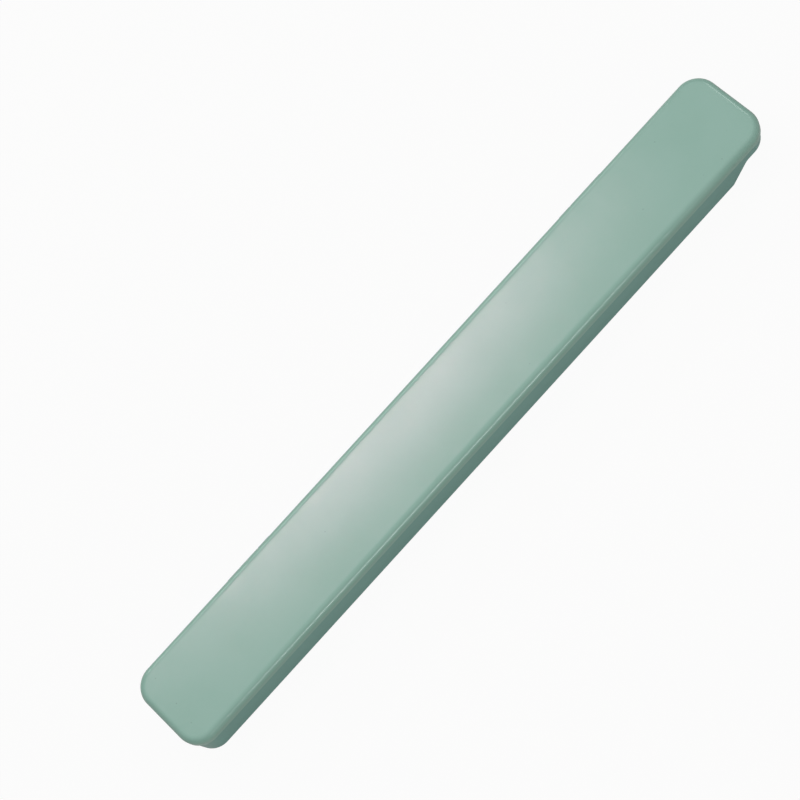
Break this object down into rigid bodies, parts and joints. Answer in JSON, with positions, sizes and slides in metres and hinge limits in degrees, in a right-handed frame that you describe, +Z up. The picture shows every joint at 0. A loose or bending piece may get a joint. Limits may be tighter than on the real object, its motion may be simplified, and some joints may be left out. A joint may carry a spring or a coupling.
{
  "type": "chopstick case",
  "caption": "Slim rounded plastic travel case for a pair of chopsticks, with a shallow soft-edged hinged lid on a drafted tub and a finger undercut at one end.",
  "frame": {"origin": "middle of the closed case's plan outline, on the flat bottom that it rests on", "axes": "+X along the length towards the finger undercut, +Y towards the hinge side, +Z up through the lid"},
  "size_m": [0.255, 0.0317, 0.017],
  "materials": {
    "lid_plastic": "satin moulded plastic, grey-green",
    "tub_plastic": "satin moulded plastic, grey-green",
    "pin_steel": "drawn steel wire"
  },
  "bodies": {
    "tub": {"tub": "tub_plastic", "hinge_pin_left": "pin_steel", "hinge_pin_right": "pin_steel"},
    "lid": {"lid": "lid_plastic"}
  },
  "joints": [
    {"name": "lid_hinge", "type": "hinge", "parent": "tub", "child": "lid", "pos_m": [0, 0.01495, 0.0123], "axis": [-1, 0, 0], "range_deg": [0, 120]}
  ]
}
